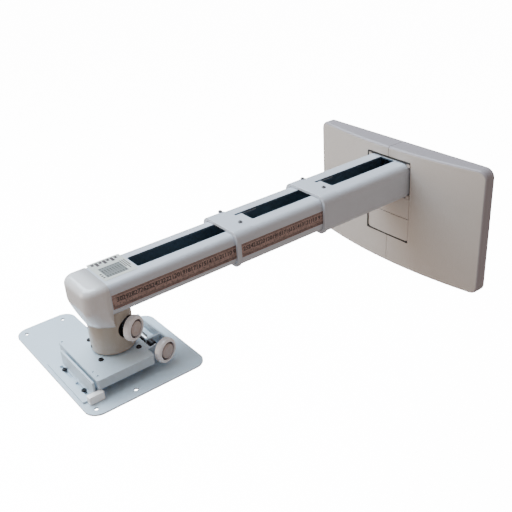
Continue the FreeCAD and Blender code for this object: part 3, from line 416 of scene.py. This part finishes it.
SPECK_SCALE = 420.0
SPECK_DETAIL = 4.0
SPECK_STRETCH = (1, 0.5, 1)
SPECK_LOW = 0.42
SPECK_HIGH = 0.62
SPECK_SHARE = 0.55
SPECK_COLOUR = (0.12, 0.075, 0.065)


def scale_film(name):
    """Printed film of a length scale: a muted brown with darker speckle."""
    film = Shader(name, (0.36, 0.25, 0.225), 0.45)
    noise = film.noise(SPECK_SCALE, SPECK_DETAIL, SPECK_STRETCH)
    film.tint(film.ramp(noise, SPECK_LOW, SPECK_HIGH, 0.0, SPECK_SHARE), SPECK_COLOUR)
    film.grain(1500.0, 1e-5)
    return film.material


MASKED = {"arm_paint": arm_paint, "cover_plastic": cover_plastic, "scale_tape": scale_film}


def make_materials():
    """One material for each slot, and one for each tube, on the CAD nodes."""
    made = {slot: maker(slot) for slot, maker in MASKED.items()}
    made.update({slot: plain_material(slot) for slot in PLAIN})
    for name, item in nodes.items():
        tube = name in TUBE_ROUND
        material = arm_paint(f"{name}_paint", name) if tube else made[slot_of[name]]
        for place in item.material_slots:
            place.material = material
    return made


# ---------------------------------------------------------------- helpers for shapes

# Distances in millimetres and angles in degrees.
WELD_DISTANCE = 0.004
BLOCK_EDGE = 0.3
FLAT_ANGLE = 0.6
BEVEL_ANGLE = 40
SOFT_ANGLE = 32
BEVEL_SEGMENTS = 2


def add_piece(name, mesh, body, material, *replaced):
    """A finished mesh as a piece that moves with a body."""
    item = bpy.data.objects.new(name, mesh)
    scene.collection.objects.link(item)
    if material is not None:
        mesh.materials.clear()
        mesh.materials.append(material)
    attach(item, body)
    if replaced:
        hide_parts(*replaced)
    return item


def soften(mesh, sharp_angle=SOFT_ANGLE):
    """Smooth shading but for edges sharper than an angle in degrees."""
    mesh.shade_smooth()
    mesh.set_sharp_from_angle(angle=math.radians(sharp_angle))


def finished(shape, name, sharp_angle=SOFT_ANGLE):
    """A shape made into a mesh with soft shading."""
    mesh = bpy.data.meshes.new(name)
    shape.to_mesh(mesh)
    shape.free()
    soften(mesh, sharp_angle)
    return mesh


def circle(shape, radius, steps, centre):
    """A level ring of vertices, in the unit of its radius and centre."""
    x, y, z = centre
    ring = []
    for step in range(steps):
        angle = FULL_TURN * step / steps
        ring.append(shape.verts.new((x + radius * math.cos(angle), y + radius * math.sin(angle), z)))
    return ring


def join_rings(shape, rings, closed=True):
    """Faces between one ring of vertices and the next; an open ring isn't joined at its ends."""
    for ring, after in zip(rings, rings[1:]):
        for step in range(len(ring) if closed else len(ring) - 1):
            following = (step + 1) % len(ring)
            shape.faces.new((ring[step], ring[following], after[following], after[step]))


def close_ends(shape, rings):
    """Flat faces over the first and the last ring."""
    shape.faces.new(list(reversed(rings[0])))
    shape.faces.new(rings[-1])


def flat_marks(name, rectangles, body, material):
    """Thin printed marks: four-cornered patches given by their corners."""
    points, faces = [], []
    for corners in rectangles:
        faces.append(tuple(range(len(points), len(points) + 4)))
        points.extend(corners)
    mesh = bpy.data.meshes.new(name)
    mesh.from_pydata(points, [], faces)
    add_piece(name, mesh, body, material)


def upright_patch(x, y_low, y_high, z_low, z_high):
    """Corners of a patch that faces +X."""
    return ((x, y_low, z_low), (x, y_high, z_low), (x, y_high, z_high), (x, y_low, z_high))


def level_patch(z, x_low, x_high, y_low, y_high):
    """Corners of a patch that faces +Z."""
    return ((x_low, y_low, z), (x_high, y_low, z), (x_high, y_high, z), (x_low, y_high, z))


def block(name, x_range, y_range, z_range, body, material, edge=BLOCK_EDGE):
    """A rectangular piece with broken edges, in millimetres."""
    shape = bmesh.new()
    bmesh.ops.create_cube(shape, size=1)
    for vert in shape.verts:
        for axis, (low, high) in enumerate((x_range, y_range, z_range)):
            vert.co[axis] = (low if vert.co[axis] < 0 else high) * MM
    bmesh.ops.bevel(shape, geom=shape.edges, offset=edge * MM, segments=BEVEL_SEGMENTS,
                    affect="EDGES")
    add_piece(name, finished(shape, name), body, material)


# ---------------------------------------------------------------- plates, tubes and covers

# Width of the broken edge on each plate, tube and cover, in millimetres.
BEVELS = {
    "slide_plate": 0.6, "projector_plate": 0.5, "front_rail": 0.5, "rail_end_block": 1.0,
    "outer_collar": 0.7, "middle_collar": 0.7, "wall_cover_left": 0.5, "wall_cover_right": 0.5,
    "cover_filler_upper": 1.1, "cover_filler_lower": 1.1, "outer_tube": 0.3, "middle_tube": 0.3,
    "inner_tube": 0.3, "column_housing": 0.5, "rod_clamps": 0.5,
}


def bevelled(node, width):
    """A node's own shape with its sharp edges broken, in place of the node."""
    mesh = nodes[node].data.copy()
    shape = bmesh.new()
    shape.from_mesh(mesh)
    bmesh.ops.remove_doubles(shape, verts=shape.verts, dist=WELD_DISTANCE * MM)
    bmesh.ops.dissolve_limit(shape, angle_limit=math.radians(FLAT_ANGLE), verts=shape.verts,
                             edges=shape.edges, delimit={"MATERIAL"})
    shape.to_mesh(mesh)
    shape.free()
    soften(mesh)
    item = add_piece(f"{node}_fine", mesh, body_of[node], None, node)
    bevel = item.modifiers.new("bevel", "BEVEL")
    bevel.width = width * MM
    bevel.segments = BEVEL_SEGMENTS
    bevel.limit_method = "ANGLE"
    bevel.angle_limit = math.radians(BEVEL_ANGLE)
    bevel.use_clamp_overlap = True
    bevel.harden_normals = True


# Dark strips of painted shade in the cutout's gap (X and Z spans), how far forward they and the corner
# blocks reach in Y, and the Z spans of the corner blocks, in millimetres. The strip at the right lies
# deeper than the others.
SHADE_STRIPS = {
    "left": ((-54.6, -51.6), (-62.9, -13)), "right": ((53.9, 54.6), (-62.9, 104)),
    "low": ((-54, 54), (-63.5, -60.3)), "top": ((-54, 54), (101.9, 104.5)),
    "top_left": ((-54.6, -52.2), (84, 104)),
}
SHADE_STRIP_FRONT = -42.4
SHADE_STRIP_FRONT_RIGHT = -38.6
SHADE_STRIP_BACK = -33
SHADE_STRIP_EDGE = 0.5
CORNER_X = (45.2, 53.4)
CORNER_Y = (-41.2, -36)
CORNER_Z = {"low": (29.8, 36.6), "top": (94.6, 100.8)}


def make_gap_shade_and_corners():
    """Dark strips of painted shade in the gap round the fillers and the arm, and blocks that close its
    corners.
    """
    for name, (x_range, z_range) in SHADE_STRIPS.items():
        front = SHADE_STRIP_FRONT_RIGHT if name == "right" else SHADE_STRIP_FRONT
        # Dark strips standing in for the shadow in the gap: painted shade.
        block(f"gap_shade_{name}", x_range, (front, SHADE_STRIP_BACK), z_range, "wall_unit",
              materials["black_plastic"], SHADE_STRIP_EDGE)
    for side, side_name in ((-1, "far"), (1, "near")):
        x_range = sorted(side * x for x in CORNER_X)
        for name, z_range in CORNER_Z.items():
            block(f"corner_{name}_{side_name}", x_range, CORNER_Y, z_range, "wall_unit",
                  materials["cover_plastic"])


# ---------------------------------------------------------------- end cap

# Sizes of the end cap in millimetres. Distances along the arm are measured from the wall.
CAP_TOP = 93.0
CAP_FRONT = 706.0
CAP_REAR = 666.5
CAP_HALF = 43.0
CAP_LOW = 20.0
CAP_CORNER = 19.0
CAP_WALL = 2.2
CAP_WELD = 0.01
CAP_ANGLE = 50
CROWN_CORNER_SHARE = 0.95
HEM_SHARE = 0.985
HEM_SPARE = 0.5
SIDE_ROUND = 11.2
FRONT_ROUND = 12.5
CROWN_STEPS = 12
BODY_LEVELS = (77.0, 73.0, 66.0, 60.0)
CHIN_TOP = 58.0
CHIN_STEPS = 12
CHIN_POWER = 1.35
CHIN_RADIUS = 37.6
COLUMN_Y = 657.0
CORNER_STEPS = 16


def front_at(z):
    """How far forward the cap reaches at a height: its crown is rounded toward the front."""
    share = max(0.0, 1 - (CAP_TOP - z) / FRONT_ROUND)
    return CAP_FRONT - FRONT_ROUND * (1 - math.sqrt(1 - share ** 2))


def cap_levels():
    """Height, half width, front and plan corner radius of the end cap, from its crown to its hem."""
    levels = []
    for step in range(CROWN_STEPS + 1):
        angle = QUARTER_TURN * step / CROWN_STEPS
        z = CAP_TOP - SIDE_ROUND * (1 - math.cos(angle))
        inset = SIDE_ROUND * (1 - math.sin(angle))
        levels.append((z, CAP_HALF - inset, front_at(z), CAP_CORNER - CROWN_CORNER_SHARE * inset))
    for z in BODY_LEVELS:
        levels.append((z, CAP_HALF, front_at(z), CAP_CORNER))
    for step in range(CHIN_STEPS + 1):
        share = step / CHIN_STEPS
        blend = share ** CHIN_POWER
        levels.append((CHIN_TOP + (CAP_LOW - CHIN_TOP) * share,
                       CAP_HALF + (CHIN_RADIUS - CAP_HALF) * blend,
                       CAP_FRONT + (COLUMN_Y + CHIN_RADIUS - CAP_FRONT) * blend,
                       CAP_CORNER + (CHIN_RADIUS - CAP_CORNER) * blend))
    return levels


def make_end_cap():
    """Smooth moulded cap in place of the plain one: rounded crown, full corners, and a chin drawn in
    to the column."""
    shape = bmesh.new()
    rings = []
    for z, half, front, corner in cap_levels():
        # Just under half the width at the hem, so that the two corners don't meet.
        corner = min(corner, half, HEM_SHARE * corner + HEM_SPARE)
        outline = [(half, CAP_REAR)]
        for step in range(CORNER_STEPS + 1):
            angle = QUARTER_TURN * step / CORNER_STEPS
            outline.append((half - corner + corner * math.cos(angle),
                            max(CAP_REAR, front - corner + corner * math.sin(angle))))
        mirrored = [(-x, y) for x, y in reversed(outline)]
        rings.append([shape.verts.new((x * MM, -y * MM, z * MM)) for x, y in outline + mirrored])
    join_rings(shape, rings, closed=False)
    shape.faces.new(rings[0])
    bmesh.ops.remove_doubles(shape, verts=shape.verts, dist=CAP_WELD * MM)
    bmesh.ops.recalc_face_normals(shape, faces=shape.faces)
    mesh = finished(shape, "end_cap_fine", CAP_ANGLE)
    item = add_piece("end_cap_fine", mesh, body_of["end_cap"], materials["cap_plastic"], "end_cap")
    shell = item.modifiers.new("shell", "SOLIDIFY")
    shell.thickness = CAP_WALL * MM
    shell.offset = -1


# ---------------------------------------------------------------- knobs and screws

# Turned outlines of a knob's hand, button and ring groove, as (distance along the axis, radius) in
# millimetres.
HAND_OUTLINE = (
    (0, 17.6), (0.6, 19.2), (1.8, 20.3), (3.2, 20.5), (7.6, 20.5), (9.2, 20.3), (10.6, 19.5),
    (11.6, 18.1), (12, 16.4), (12, 15.3), (11.7, 15.0), (9.2, 14.9), (9.0, 14.6), (9.0, 4.05),
)
BUTTON_OUTLINE = (
    (9.0, 4.05), (9.0, 11.8), (11.3, 11.8), (11.8, 11.4), (12.0, 10.6), (12.05, 6.0), (12.1, 0.1),
)
GROOVE_OUTLINE = ((9.02, 11.9), (9.3, 11.9), (9.3, 14.8), (9.02, 14.8))
HAND_STEPS = 144
HAND_FLUTE = 0.22
TURNED_ANGLE = 28
WIDEST_SHARE = 0.985
SMALLEST_RADIUS = 0.02

# Radius, height, socket size and lift of the screw heads in millimetres, and their material where it
# isn't the node's own.
SCREW_HEADS = {
    "slide_screws": (4.2, 2.6, 1.9, 0.0, None),
    "outer_collar_screws": (3.9, 2.8, 1.9, 0.6, "mid_steel"),
    "middle_collar_screws": (3.9, 2.8, 1.9, 0.6, "mid_steel"),
    "rail_screws": (4.2, 2.6, 1.9, 0.0, None),
}
# Outline of a button head, as shares of its height and its radius.
HEAD_OUTLINE = ((0.0, 1.0), (0.35, 1.0), (0.7, 0.90), (1.0, 0.68))
HEAD_STEPS = 48
HEAD_ANGLE = 25
SOCKET_FLOOR = 0.25
HEX_SIDE = math.pi / 3


def turned(name, profile, place, axis, body, material, replaced=(), steps=96, flute=0.0):
    """A turned piece from its outline; flutes ripple its widest part."""
    shape = bmesh.new()
    turn = Vector((0, 0, 1)).rotation_difference(Vector(axis)).to_matrix()
    widest = max(radius for _, radius in profile)
    rings = []
    for along, radius in profile:
        ring = []
        for step in range(steps):
            angle = FULL_TURN * step / steps
            ripple = flute * (step % 2) if radius > WIDEST_SHARE * widest else 0.0
            reach = max(radius - ripple, SMALLEST_RADIUS)
            spot = Vector((reach * math.cos(angle), reach * math.sin(angle), along)) * MM
            ring.append(shape.verts.new(Vector(place) + turn @ spot))
        rings.append(ring)
    join_rings(shape, rings)
    close_ends(shape, rings)
    add_piece(name, finished(shape, name, TURNED_ANGLE), body, material, *replaced)


def make_knobs():
    """White knobs with a rounded rim, a dark ring groove and a tan cap."""
    joints = {joint["child"]: joint for joint in record["behaviour"]["joints"]}
    for name in ("tilt_knob", "shift_knob"):
        place, axis = joints[name]["pos_m"], joints[name]["axis"]
        turned(f"{name}_hand", HAND_OUTLINE, place, axis, name, materials["knob_white"], (name,),
               HAND_STEPS, HAND_FLUTE)
        turned(f"{name}_button", BUTTON_OUTLINE, place, axis, name, materials["knob_tan"],
               (f"{name}_cap",))
        turned(f"{name}_groove", GROOVE_OUTLINE, place, axis, name, materials["groove_grey"])


def hexagon(shape, size, centre):
    """A level ring of vertices on a hexagon, with as many steps as a screw head, in metres."""
    x, y, z = centre
    ring = []
    for step in range(HEAD_STEPS):
        angle = FULL_TURN * step / HEAD_STEPS
        within = (angle % HEX_SIDE) - HEX_SIDE / 2
        reach = size * math.cos(HEX_SIDE / 2) / math.cos(within)
        ring.append(shape.verts.new((x + reach * math.cos(angle), y + reach * math.sin(angle), z)))
    return ring


def screw_heads(node, radius, tall, socket, lift, finish):
    """Button heads with a hexagon socket on the upright screws of a node."""
    for index, (x, y, top) in enumerate(islands_along_z(nodes[node])):
        seat = top + (lift - tall) * MM
        shape = bmesh.new()
        rings = [circle(shape, share * radius * MM, HEAD_STEPS, (x, y, seat + up * tall * MM))
                 for up, share in HEAD_OUTLINE]
        for up in (1.0, SOCKET_FLOOR):
            rings.append(hexagon(shape, socket * MM, (x, y, seat + up * tall * MM)))
        join_rings(shape, rings)
        close_ends(shape, rings)
        name = f"{node}_head_{index}"
        replaced = (node,) if index == 0 else ()
        add_piece(name, finished(shape, name, HEAD_ANGLE), body_of[node],
                  materials[finish or slot_of[node]], *replaced)


def islands_along_z(source):
    """Centre and top of each separate solid in a node."""
    shape = bmesh.new()
    shape.from_mesh(source.data)
    bmesh.ops.remove_doubles(shape, verts=shape.verts, dist=WELD_DISTANCE * MM)
    left = set(shape.verts)
    spots = []
    while left:
        group = {left.pop()}
        outermost = set(group)
        while outermost:
            outermost = {edge.other_vert(vert) for vert in outermost for edge in vert.link_edges} - group
            group |= outermost
        left -= group
        xs = [vert.co.x for vert in group]
        ys = [vert.co.y for vert in group]
        top = max(vert.co.z for vert in group)
        spots.append(((max(xs) + min(xs)) / 2, (max(ys) + min(ys)) / 2, top))
    shape.free()
    return sorted(spots)


# ---------------------------------------------------------------- printed marks

# Sizes of the scales' print in millimetres: how far it stands off the film, half a tick's width, tick
# lengths by their spacing, margins at the lower and upper edge, the numbers' size and place, and what
# is left free at the scale's ends.
INK_LIFT = 0.04
TICK_HALF = 0.2
TICK_LENGTHS = {10: 8.5, 5: 6.0, 1: 4.0}
LOW_MARGIN = 1.0
HIGH_MARGIN = 0.8
NUMBER_EVERY = 10
NUMBER_SIZE = 10.5
NUMBER_WEIGHT = 0.22
NUMBER_UP = 11.0
NUMBER_CLEAR = 6
FIRST_TICK = 2
HIGH_TICK_SHARE = 0.5

# How far the label's grey field stands off its film, and its marks off the field, in millimetres.
FIELD_LIFT = 0.03
MARKS_LIFT = 0.02


def make_scale(node):
    """Millimetre marks and generic numbers of a length scale."""
    low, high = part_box(node)
    face = high.x + INK_LIFT * MM
    length = round((high.y - low.y) / MM)
    ticks = []
    for step in range(FIRST_TICK, length - 1):
        y = high.y - step * MM
        tall = next(size for every, size in TICK_LENGTHS.items() if step % every == 0)
        foot = low.z + LOW_MARGIN * MM
        head = high.z - HIGH_MARGIN * MM
        for z_low, z_high in ((foot, foot + tall * MM), (head - HIGH_TICK_SHARE * tall * MM, head)):
            ticks.append(upright_patch(face, y - TICK_HALF * MM, y + TICK_HALF * MM, z_low, z_high))
    flat_marks(f"{node}_ticks", ticks, body_of[node], materials["scale_ink"])
    for step in range(NUMBER_EVERY, length - NUMBER_CLEAR, NUMBER_EVERY):
        name = f"{node}_digit_{step}"
        mesh = number_mesh(name, str(step // NUMBER_EVERY),
                           (face, high.y - step * MM, low.z + NUMBER_UP * MM))
        add_piece(name, mesh, body_of[node], materials["scale_ink"])


def number_mesh(name, text, place):
    """A flat number that faces +X and reads along +Y."""
    curve = bpy.data.curves.new(f"{name}_curve", "FONT")
    curve.body = text
    curve.size = NUMBER_SIZE * MM
    curve.offset = NUMBER_WEIGHT * MM
    curve.align_x = "CENTER"
    curve.resolution_u = 2
    writer = bpy.data.objects.new(curve.name, curve)
    scene.collection.objects.link(writer)
    bpy.context.view_layer.update()
    mesh = bpy.data.meshes.new_from_object(writer)
    bpy.data.objects.remove(writer)
    turn = Matrix(((0, 0, 1), (1, 0, 0), (0, 1, 0))).to_4x4()
    mesh.transform(Matrix.Translation(place) @ turn)
    return mesh


def label_patches(rows, low, z):
    """Patches from (x, y, width, depth) in millimetres, measured from the label's low corner."""
    return [level_patch(z, low.x + x * MM, low.x + (x + wide) * MM, low.y + y * MM,
                        low.y + (y + deep) * MM) for x, y, wide, deep in rows]


def make_label():
    """Printed blocks of a plain label: a grey field, bars along one edge and rows of small marks."""
    low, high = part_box("top_label")
    body = body_of["top_label"]
    length = (high.y - low.y) / MM
    field_z = high.z + FIELD_LIFT * MM
    marks_z = field_z + MARKS_LIFT * MM
    field = [(24, 8, 33, length - 20)]
    marks = [(4, 5 + 6.6 * row, 7 + 5 * (row % 2), 4.8) for row in range(7)]
    marks += [(26 + 6 * column, 10 + 4.4 * row, 2.4 + 1.6 * ((row * 3 + column * 5) % 3), 1.4)
              for column in range(5) for row in range(8)]
    marks += [(22, length - 4 - 3.4 * row, 24 + 8 * (row % 2), 1.7) for row in range(3)]
    marks += [(40 + 6 * column, 2.5, 3.4, 3.5) for column in range(3)]
    flat_marks("label_field", label_patches(field, low, field_z), body, materials["label_grey"])
    flat_marks("label_marks", label_patches(marks, low, marks_z), body, materials["scale_ink"])


# ---------------------------------------------------------------- build

make_camera()
make_light()
make_floor()
materials = make_materials()
for bevel_node, bevel_width in BEVELS.items():
    bevelled(bevel_node, bevel_width)
make_end_cap()
make_gap_shade_and_corners()
make_knobs()
for screw_node, head_sizes in SCREW_HEADS.items():
    screw_heads(screw_node, *head_sizes)
make_scale("middle_scale")
make_scale("inner_scale")
make_label()
